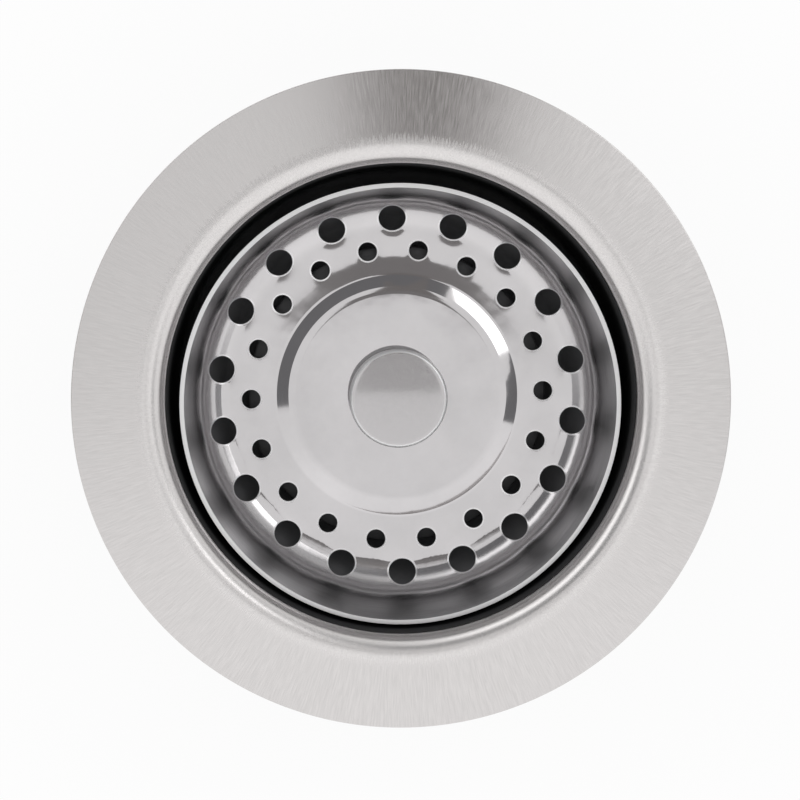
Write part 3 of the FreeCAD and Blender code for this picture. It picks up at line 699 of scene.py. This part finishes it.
def moulded_drain():
    """Flange, collar, threaded barrel, funnel, seat, outlet and the cross that guides the peg."""
    foot = levels("strainer_body")[0]
    shell = turned([
        (SOCKET, LEDGE),
        (SOCKET, SOCKET_TOP, 3.2),
        (BODY_FLANGE, BODY_FLANGE_LEVELS[1], 0.2),
        (BODY_FLANGE, BODY_FLANGE_LEVELS[0], 0.2),
        (COLLAR, BODY_FLANGE_LEVELS[0], 0.5),
        (COLLAR, COLLAR_END, 0.4),
        (BARREL_ROOT, COLLAR_END, 0.3),
        (BARREL_ROOT, BARREL_END, 4.0),
        (FUNNEL_FOOT, FUNNEL_END, 1.5),
        (OUTLET_ROOT, FUNNEL_END, 1.5),
        (OUTLET_ROOT, foot, 0.5),
        (OUTLET_BORE, foot, 0.5),
        (OUTLET_BORE, SEAT_LEVEL, 1.5),
        (SEAT, SEAT_LEVEL, 1.5),
        (BORE_FOOT, BORE_END, 4.0),
        (BORE, LEDGE),
    ])
    hub = turned([
        (HUB_BORE, CROSS_TOP, CROSS_EDGE),
        (HUB_WALL, CROSS_TOP, CROSS_EDGE),
        (HUB_WALL, CROSS_END, CROSS_EDGE),
        (HUB_BORE, CROSS_END, CROSS_EDGE),
    ], SMALL_FACETS)
    arm_size = (ARM_END - ARM_ROOT, ARM_WIDTH, CROSS_TOP - CROSS_END)
    arm_place = ((ARM_END + ARM_ROOT) / 2, 0, (CROSS_TOP + CROSS_END) / 2)
    arms = around(block(arm_size, arm_place, CROSS_EDGE), ARM_COUNT)
    barrel = thread(BARREL_ROOT, COLLAR, BARREL_PITCH, BARREL_THREAD_START, turns=6)
    outlet = thread(OUTLET_ROOT, OUTLET_CREST, OUTLET_PITCH, OUTLET_THREAD_START, turns=7)
    form = join(shell, hub, arms, barrel, outlet)
    piece("moulded_drain", form, "strainer_body", BODY_PLASTIC)


# The clamp under the deck and the outlet's coupling

def ring(name, node_name, inner, edge, finish):
    """A plain washer with softened edges."""
    low, high = levels(node_name)
    outer = reach(node_name)
    form = turned([(inner, low, edge), (outer, low, edge), (outer, high, edge), (inner, high, edge)])
    piece(name, form, node_name, finish)


ON_WALL = 0.998  # share of the outer wall's radius from which a face belongs to that wall


def lugged_ring(corners, facets, lugs, half_width, top, out_to):
    """A turned nut whose outer wall is drawn out into evenly spaced lugs below a level."""
    form = turned(corners, facets)
    per_lug = facets // lugs
    wall = max(v.co.x for v in form.verts)
    half_steps = max(1, round(math.asin(half_width * MM / wall) / (2 * math.pi / facets)))
    half_angle = (half_steps + 0.1) * 2 * math.pi / facets
    for k in range(lugs):
        heading = Matrix.Rotation(2 * math.pi * k * per_lug / facets, 3, "Z")
        back = heading.inverted()
        faces = []
        for face in form.faces:
            here = back @ face.calc_center_median()
            on_wall = math.hypot(here.x, here.y) > wall * ON_WALL and here.z < top * MM
            if on_wall and abs(math.atan2(here.y, here.x)) < half_angle:
                faces.append(face)
        drawn = bmesh.ops.extrude_face_region(form, geom=faces)
        bmesh.ops.delete(form, geom=faces, context="FACES_ONLY")
        for vert in only_verts(drawn["geom"]):
            local = back @ vert.co
            local.x = out_to * MM
            vert.co = heading @ local
    bmesh.ops.recalc_face_normals(form, faces=form.faces)
    return form


CLAMP_BORE = 43.3
CLAMP_CREST = 42.5
CLAMP_WALL = 50.0
CLAMP_BAND = 1.0  # plain wall above the lugs
CLAMP_LUGS = {"lugs": 8, "half_width": 7.0, "out_to": 56.0}


def clamp_nut():
    """The lugged nut on the barrel, with its inner thread."""
    low, high = levels("lock_nut")
    band = high - CLAMP_BAND
    corners = [
        (CLAMP_BORE, low),
        (CLAMP_WALL, low),
        (CLAMP_WALL, band),
        (CLAMP_WALL, high),
        (CLAMP_BORE, high),
    ]
    form = lugged_ring(corners, FACETS, top=band, **CLAMP_LUGS)
    start = BARREL_THREAD_START + 1.5 * BARREL_PITCH
    join(form, thread(CLAMP_BORE, CLAMP_CREST, BARREL_PITCH, start, turns=2))
    piece("clamp_nut", form, "lock_nut", NUT_PLASTIC)


TAIL_MOUTH = 19.55  # takes the tailpiece
TAIL_LIP = 2.5
TAIL_BORE = 24.1
TAIL_CREST = 23.5
TAIL_WALL = 28.1
TAIL_BAND = 0.8  # plain wall above the ribs, and a row of faces at their foot
TAIL_FACETS = 192
TAIL_RIBS = {"lugs": 16, "half_width": 1.6, "out_to": 29.6}


def tail_nut():
    """The ribbed coupling on the outlet, with its inner thread and the lip that holds a tailpiece."""
    low, high = levels("coupling_nut")
    corners = [
        (TAIL_MOUTH, low),
        (TAIL_WALL, low),
        (TAIL_WALL, low + TAIL_BAND),
        (TAIL_WALL, high - TAIL_BAND),
        (TAIL_WALL, high),
        (TAIL_BORE, high),
        (TAIL_BORE, low + TAIL_LIP),
        (TAIL_MOUTH, low + TAIL_LIP),
    ]
    form = lugged_ring(corners, TAIL_FACETS, top=high - TAIL_BAND, **TAIL_RIBS)
    start = OUTLET_THREAD_START - 0.5 * OUTLET_PITCH
    join(form, thread(TAIL_BORE, TAIL_CREST, OUTLET_PITCH, start, turns=4))
    piece("tail_nut", form, "coupling_nut", NUT_PLASTIC)


# The basket that lifts out

CUP_SHEET = 0.8
CUP_WALL = 37.9  # inner radius at the rim
CUP_TAPER = 2.0  # how much less it is at the wall's foot
CUP_CORNER = 6.2
CUP_LEAN = 1.2  # degrees that the cup stands askew on its stopper
RIM = levels("basket_cup")[1]
FLOOR = levels("basket_cup")[0] + CUP_SHEET
STUD_HOLE = 3.2
CLAMPED = 6.6  # the part of the plateau under the knob
PLATEAU_SINK = 0.31  # below the knob's solid
PLATEAU = levels("knob")[0] - PLATEAU_SINK
PLATEAU_TOP = 19.1  # radii of its slope's ends, before they are rounded
PLATEAU_FOOT = 22.05
TOP_ROUNDING = 5.6
FOOT_ROUNDING = 2.0
DISH = 0.07  # how far the clamped middle of the plateau is pulled down
BOWL_SLOPE = 0.024  # of the floor between the rings of holes
BOWL_FULL = 26.5  # the floor climbs from the inner holes' band on, and has its full slope here
BAND_EDGES = (24.2, 28.5, 35.1)  # where plain sheet, inner holes, outer holes and plain sheet meet
BAND_CUTS = 8  # rings of points between a hole and the edges of its sector
CORNER_STEPS = 10
WALL_CUTS = 8
SEAM = 0.02  # points of the cup's bands that are nearer than this become one
OUTER_ROLL = (0.026, 1.9)  # how far the punch draws the sheet down at a hole's edge, and how wide
INNER_ROLL = (0.008, 1.0)
ROLL_CURVE = 1.6
CUT_EDGE = 0.2  # rounding of the sheet's cut edges
CUT_SHARP = 50  # degrees from which an edge of the cup is a cut edge

wall_lean = math.atan2(CUP_TAPER, RIM - FLOOR)
floor_edge = CUP_WALL - CUP_TAPER - CUP_CORNER / math.tan((math.pi / 2 + wall_lean) / 2)


def askew(bm, lean):
    """Tips a form that stands on its axis towards the picture's top, without moving it sideways."""
    tip = Matrix(((1, 0, 0), (0, 1, 0), (0, -math.tan(math.radians(lean)), 1)))
    bmesh.ops.transform(bm, matrix=tip.to_4x4(), verts=bm.verts)
    return bm


def bowl(radius):
    """How far the floor's faint bowl lifts the sheet: its slope starts, stays and fades in the corner."""
    start, end = BAND_EDGES[0], BAND_EDGES[2]
    climb = min(max(radius, start), BOWL_FULL) - start
    steady = min(max(radius, BOWL_FULL), floor_edge) - BOWL_FULL
    ease = min(max(radius, floor_edge), end) - floor_edge
    lift = climb ** 2 / (BOWL_FULL - start) / 2 + steady + ease - ease ** 2 / (end - floor_edge) / 2
    return BOWL_SLOPE * lift


def cup_height(radius):
    """Height of the cup's floor and corner, up to the corner's steep part."""
    past = max(0.0, radius - floor_edge)
    return FLOOR + bowl(radius) + CUP_CORNER - math.sqrt(CUP_CORNER ** 2 - past ** 2)


def pierced_band(inner, outer, holes):
    """A ring of sheet with holes: one sector is bridged from its hole to its edges, then repeated."""
    ring_radius, (across_size, along_size), first = holes
    along = FACETS // HOLE_COUNT
    across = max(4, round((outer - inner) / (2 * math.pi * ring_radius / FACETS)))
    bm = bmesh.new()
    bmesh.ops.create_grid(bm, x_segments=across, y_segments=along, size=1)
    inside = [v for v in bm.verts if max(abs(v.co.x), abs(v.co.y)) < 0.999]
    bmesh.ops.delete(bm, geom=inside, context="VERTS")
    for vert in bm.verts:
        radius = (inner + outer + vert.co.x * (outer - inner)) / 2
        angle = vert.co.y * HALF_PITCH
        vert.co = Vector((radius * math.cos(angle), radius * math.sin(angle), 0)) * MM
    edge_count = len(bm.edges)
    size = Matrix.Diagonal((across_size * MM, along_size * MM, 1, 1))
    place = Matrix.Translation((ring_radius * MM, 0, 0)) @ size
    bmesh.ops.create_circle(bm, cap_ends=False, radius=0.5, segments=edge_count, matrix=place)
    bridged = bmesh.ops.bridge_loops(bm, edges=bm.edges[:])
    bmesh.ops.subdivide_edges(bm, edges=bridged["edges"], cuts=BAND_CUTS, use_grid_fill=True)
    rotate(bm, first)
    around(bm, HOLE_COUNT)
    for vert in bm.verts:
        vert.co.z = cup_height(math.hypot(vert.co.x, vert.co.y) / MM) * MM
    return bm


def roll_hole_edges(bm, holes, roll):
    """Draws the sheet down a little around each hole of a ring, as the punch does."""
    ring_radius, (across_size, along_size), first = holes
    drop, width = roll
    for vert in bm.verts:
        x, y, _ = vert.co / MM
        off = math.remainder(math.atan2(y, x) - math.radians(first), 2 * HALF_PITCH)
        far = math.hypot(x, y)
        across = (far * math.cos(off) - ring_radius) / across_size
        along = far * math.sin(off) / along_size
        from_edge = (math.hypot(across, along) - 0.5) * (across_size + along_size) / 2
        vert.co.z -= drop * MM * max(0.0, 1 - from_edge / width) ** ROLL_CURVE


def plain_disc():
    """The raised middle and the floor around it, as far as the inner holes."""
    wire = section([
        (STUD_HOLE, PLATEAU),
        (CLAMPED, PLATEAU),
        (PLATEAU_TOP, PLATEAU + DISH, TOP_ROUNDING),
        (PLATEAU_FOOT, FLOOR, FOOT_ROUNDING),
        (BAND_EDGES[0], FLOOR),
    ], closed=False)
    return turn(wire)


def plain_wall():
    """The corner's steep part and the wall, up to the rim."""
    bm = bmesh.new()
    radius = BAND_EDGES[2]
    start = math.asin((radius - floor_edge) / CUP_CORNER)
    foot = bm.verts.new((radius * MM, 0, cup_height(radius) * MM))
    centre = (floor_edge * MM, 0, (FLOOR + bowl(radius) + CUP_CORNER) * MM)
    arc = bmesh.ops.spin(
        bm, geom=[foot], cent=centre, axis=(0, -1, 0), angle=math.pi / 2 - wall_lean - start,
        steps=CORNER_STEPS)
    top = only_verts(arc["geom_last"])[0]
    rim = bm.verts.new((CUP_WALL * MM, 0, RIM * MM))
    wall = bm.edges.new((top, rim))
    bmesh.ops.subdivide_edges(bm, edges=[wall], cuts=WALL_CUTS)
    return turn(bm)


def pierced_basket():
    """The drawn cup, from its upper skin, then given the sheet's thickness."""
    form = join(plain_disc(), plain_wall())
    rotate(form, INNER_HOLES[2])
    inner_band = pierced_band(BAND_EDGES[0], BAND_EDGES[1], INNER_HOLES)
    outer_band = pierced_band(BAND_EDGES[1], BAND_EDGES[2], OUTER_HOLES)
    join(form, inner_band, outer_band)
    bmesh.ops.remove_doubles(form, verts=form.verts, dist=SEAM * MM)
    roll_hole_edges(form, OUTER_HOLES, OUTER_ROLL)
    roll_hole_edges(form, INNER_HOLES, INNER_ROLL)
    bmesh.ops.recalc_face_normals(form, faces=form.faces)
    if sum(face.normal.z for face in form.faces) < 0:
        bmesh.ops.reverse_faces(form, faces=form.faces)
    askew(form, CUP_LEAN)
    made = piece("pierced_basket", form, "basket_cup", BASKET_STEEL, even=False)
    made.data.materials.append(EDGE_STEEL)
    sheet = made.modifiers.new("sheet", "SOLIDIFY")
    sheet.thickness = CUP_SHEET * MM
    sheet.offset = -1
    sheet.use_even_offset = True
    sheet.material_offset_rim = 1
    edges = made.modifiers.new("cut edges", "BEVEL")
    edges.width = CUT_EDGE * MM
    edges.segments = EDGE_FACETS
    edges.limit_method = "ANGLE"
    edges.angle_limit = math.radians(CUT_SHARP)
    edges.material = 1
    even_shading(made)


TAPPED_HOLE = 3.1  # in the knob and the peg
KNOB_BASE = 6.5
KNOB_NECK = 5.2
KNOB_NECK_RISE = 2.2
KNOB_RIM = 3.2  # height of its upright side
KNOB_HOLE_DEPTH = 5.4
KNOB_CUTS = 16  # rings of points on its top
KNOB_CROWN = 0.09  # how much the knob's top falls off towards its edge
KNOB_LEAN = 2.0  # degrees, on its stud


def turned_knob():
    """A waisted knob with a faintly crowned top and a blind hole for the stud."""
    low, high = PLATEAU, levels("knob")[1]
    radius = reach("knob")
    wire = section([
        (TAPPED_HOLE, low),
        (KNOB_BASE, low, 0.2),
        (KNOB_NECK, low + KNOB_NECK_RISE, 1.6),
        (radius, high - KNOB_RIM, 0.6),
        (radius, high, 0.6),
        (0, high),
        (0, low + KNOB_HOLE_DEPTH),
        (TAPPED_HOLE, low + KNOB_HOLE_DEPTH),
    ])
    flat_top = (high - 0.001) * MM
    near_top = (high - 1) * MM
    top = [e for e in wire.edges if min(v.co.z for v in e.verts) > flat_top]
    bmesh.ops.subdivide_edges(wire, edges=top, cuts=KNOB_CUTS)
    for vert in wire.verts:
        if vert.co.z > near_top:
            vert.co.z -= KNOB_CROWN * MM * (vert.co.x / (radius * MM)) ** 2
    form = askew(turn(wire), KNOB_LEAN)
    piece("turned_knob", form, "knob", KNOB_STEEL)


STOPPER_SHEET = 3.0
STOPPER_FLAT = 24.0  # radius of its flat top
STOPPER_SLOPE = 1.4  # how far its edge lies below the top
STOPPER_LIP = (3.0, 2.4)  # width of the lip at its root and foot


def rubber_stopper():
    """A disc with a sloped edge and the lip that stands on the seat."""
    low, high = levels("stopper")
    radius = reach("stopper")
    form = turned([
        (STUD_HOLE, high - STOPPER_SHEET),
        (radius - STOPPER_LIP[0], high - STOPPER_SHEET, 0.8),
        (radius - STOPPER_LIP[1], low, 0.4),
        (radius, low, 0.5),
        (radius, high - STOPPER_SLOPE, 0.6),
        (STOPPER_FLAT, high, 0.4),
        (STUD_HOLE, high),
    ])
    piece("rubber_stopper", form, "stopper", STOPPER_RUBBER)


PEG = 4.5
PEG_TIP = 1.2  # its rounding
PEG_HOLE_DEPTH = 6.4
HEXAGON = 13.0  # across flats
HEXAGON_HEIGHT = 4.0
HEXAGON_EDGE = 0.35


def clamp_peg():
    """A hexagon collar with rounded edges, and the peg that drops into the cross."""
    low, high = levels("peg")
    shank = turned([
        (0, low),
        (PEG, low, PEG_TIP),
        (PEG, high),
        (TAPPED_HOLE, high),
        (TAPPED_HOLE, high - PEG_HOLE_DEPTH),
        (0, high - PEG_HOLE_DEPTH),
    ], SMALL_FACETS)
    collar = bmesh.new()
    bmesh.ops.create_circle(collar, cap_ends=True, radius=HEXAGON / math.sqrt(3) * MM, segments=6)
    raised = bmesh.ops.extrude_face_region(collar, geom=collar.faces[:])
    bmesh.ops.translate(collar, vec=(0, 0, HEXAGON_HEIGHT * MM), verts=only_verts(raised["geom"]))
    rotate(collar, 30)
    bmesh.ops.translate(collar, vec=(0, 0, (high - HEXAGON_HEIGHT) * MM), verts=collar.verts)
    round_edges(collar, HEXAGON_EDGE)
    bmesh.ops.recalc_face_normals(collar, faces=collar.faces)
    piece("clamp_peg", join(shank, collar), "peg", STEM_STEEL)


brushed_flange()
deck_seal()
moulded_drain()
ring("deck_gasket", "sink_gasket", CLAMP_BORE, 0.8, RUBBER)
ring("slip_washer", "friction_washer", CLAMP_BORE, 0.2, FIBRE)
clamp_nut()
ring("pipe_washer", "tail_washer", OUTLET_BORE, 0.4, TAIL_PLASTIC)
tail_nut()
pierced_basket()
turned_knob()
ring("backing_disc", "stopper_backing", STUD_HOLE, 0.2, KNOB_STEEL)
rubber_stopper()
ring("retaining_washer", "stopper_retainer", STUD_HOLE, 0.3, KNOB_STEEL)
clamp_peg()
stem = frame["nodes"]["stem"]
stem.data.materials.clear()
stem.data.materials.append(STEM_STEEL)


# Camera, floor and light, with lengths in metres and angles in degrees

CAMERA_DISTANCE = 0.6
CAMERA_TILT_UP = 4.3  # off straight down, towards the picture's top
CAMERA_TILT_LEFT = 1.6
LENS = 156.35
SENSOR = 36
AIM = Vector((-0.00034, 0.00018, 0.002))


def camera():
    """Looks down on the part from a little above and left of the picture's middle."""
    across = -math.tan(math.radians(CAMERA_TILT_LEFT))
    up = math.tan(math.radians(CAMERA_TILT_UP))
    back = Vector((across, up, 1)).normalized()
    right = Vector((0, 1, 0)).cross(back).normalized()
    top = back.cross(right)
    data = bpy.data.cameras.new("camera")
    data.lens = LENS
    data.sensor_width = SENSOR
    made = bpy.data.objects.new("camera", data)
    turn_to = Matrix((right, top, back)).transposed()
    made.matrix_world = Matrix.Translation(AIM + back * CAMERA_DISTANCE) @ turn_to.to_4x4()
    scene.collection.objects.link(made)
    scene.camera = made


def stage_piece(name, bm, finish):
    """Part of the studio, not of the object."""
    mesh = bpy.data.meshes.new(name)
    bm.to_mesh(mesh)
    bm.free()
    made = bpy.data.objects.new(name, mesh)
    mesh.materials.append(finish)
    scene.collection.objects.link(made)
    return made


def bare_material(name):
    """A material with no shader, its tree, and the input that takes one."""
    made = bpy.data.materials.new(name)
    made.use_nodes = True
    tree = made.node_tree
    tree.nodes.clear()
    return made, tree, node(tree, "ShaderNodeOutputMaterial").inputs["Surface"]


GROUND_HALF = 6  # half of the white floor's width
GROUND_TONE = (0.9, 0.9, 0.9, 1)
GROUND_GLOW = 0.9  # share of its white that no shadow reaches


def floor():
    """A white floor that keeps a soft share of the part's shadow."""
    made, tree, surface = bare_material("white floor")
    path = node(tree, "ShaderNodeLightPath").outputs
    seen = maths(tree, "MAXIMUM", path["Is Camera Ray"], path["Is Glossy Ray"])
    seen = maths(tree, "MAXIMUM", seen, path["Is Transmission Ray"])
    paper = node(tree, "ShaderNodeBsdfDiffuse", {"Color": GROUND_TONE})
    glow = node(tree, "ShaderNodeEmission")
    share = maths(tree, "MULTIPLY", seen, GROUND_GLOW)
    mixed = node(tree, "ShaderNodeMixShader", {0: share, 1: paper.outputs[0], 2: glow.outputs[0]})
    tree.links.new(mixed.outputs[0], surface)
    bm = bmesh.new()
    bmesh.ops.create_grid(bm, x_segments=1, y_segments=1, size=GROUND_HALF)
    bmesh.ops.translate(bm, vec=(0, 0, cad_box[0].z), verts=bm.verts)
    stage_piece("floor", bm, made)


def card(name, bm, tone):
    """A dark card that shows in the steel's reflections and nowhere else."""
    finish, tree, surface = bare_material(name)
    glow = node(tree, "ShaderNodeEmission", {"Color": (*tone, 1)})
    tree.links.new(glow.outputs[0], surface)
    made = stage_piece(name, bm, finish)
    made.visible_camera = False
    made.visible_diffuse = False
    made.visible_shadow = False
    made.visible_transmission = False


CARD_HEIGHT = 2.0
DOME = 2.4
DOME_STEPS = (8, 24)  # faces up and around


def overhead_card(name, near, far, tone):
    """A dark card above the part, from a near to a far edge: each is (angle up, left end, right end)."""
    bm = bmesh.new()
    bmesh.ops.create_grid(bm, x_segments=1, y_segments=1, size=1)
    for vert in bm.verts:
        up, left, right = far if vert.co.y > 0 else near
        across = right if vert.co.x > 0 else left
        vert.co = Vector((math.tan(math.radians(across)), math.tan(math.radians(up)), 1)) * CARD_HEIGHT
    card(name, bm, tone)


def side_card(name, azimuths, polars, tone):
    """Part of a dome around the table, between two azimuths and two angles off straight up."""
    bm = bmesh.new()
    start = bm.verts.new((0, 0, DOME))
    rotate(bm, polars[0], "Y")
    bmesh.ops.spin(
        bm, geom=[start], axis=(0, 1, 0), angle=math.radians(polars[1] - polars[0]),
        steps=DOME_STEPS[0])
    rotate(bm, azimuths[0])
    bmesh.ops.spin(
        bm, geom=bm.verts[:] + bm.edges[:], axis=(0, 0, 1),
        angle=math.radians(azimuths[1] - azimuths[0]), steps=DOME_STEPS[1])
    card(name, bm, tone)


NEAR_WHITE = (0.87, 0.87, 0.87), (1, 1, 1)  # from the far side of the room to the near one
NEAR_SIDE = (0.0, 0.35)


def world():
    """A white room, a little darker on its far side."""
    made = bpy.data.worlds.new("white studio")
    made.use_nodes = True
    scene.world = made
    tree = made.node_tree
    heading = node(tree, "ShaderNodeTexCoord").outputs["Generated"]
    side = node(tree, "ShaderNodeSeparateXYZ", {0: heading}).outputs[1]
    white = shade(tree, maths(tree, "MULTIPLY", side, -1.0), *NEAR_WHITE, *NEAR_SIDE)
    tree.links.new(white, tree.nodes["Background"].inputs["Color"])


def lamp(name, azimuth, polar, distance, size, radiance):
    """A soft rectangular lamp that points at the part, as bright as the given radiance."""
    data = bpy.data.lights.new(name, "AREA")
    data.shape = "RECTANGLE"
    data.size, data.size_y = size
    data.energy = radiance * math.pi * size[0] * size[1]
    made = bpy.data.objects.new(name, data)
    a, p = math.radians(azimuth), math.radians(polar)
    place = Vector((math.cos(a) * math.sin(p), math.sin(a) * math.sin(p), math.cos(p))) * distance
    made.matrix_world = Matrix.Translation(place) @ place.to_track_quat("Z", "Y").to_matrix().to_4x4()
    scene.collection.objects.link(made)


camera()
floor()
world()
overhead_card("camera_card", (0.1, -1.5, 4.5), (12.4, -6.0, 8.0), (0.22, 0.212, 0.21))
overhead_card("boom_card", (12.4, -2.2, 9.0), (28.5, -2.2, 10.7), (0.20, 0.19, 0.185))
side_card("left_card", (59, 190), (27.5, 53), (0.18, 0.18, 0.185))
side_card("right_card", (-17, 16), (32, 53), (0.18, 0.18, 0.185))
side_card("far_card", (30, 197), (53, 70), (0.55, 0.55, 0.55))
lamp("key_lamp", 37.5, 38.2, 1.5, (0.57, 0.48), 1.5)
lamp("low_lamp", 138, 66, 1.5, (2.1, 0.55), 1.0)
bpy.context.scene.view_settings.view_transform = "Standard"
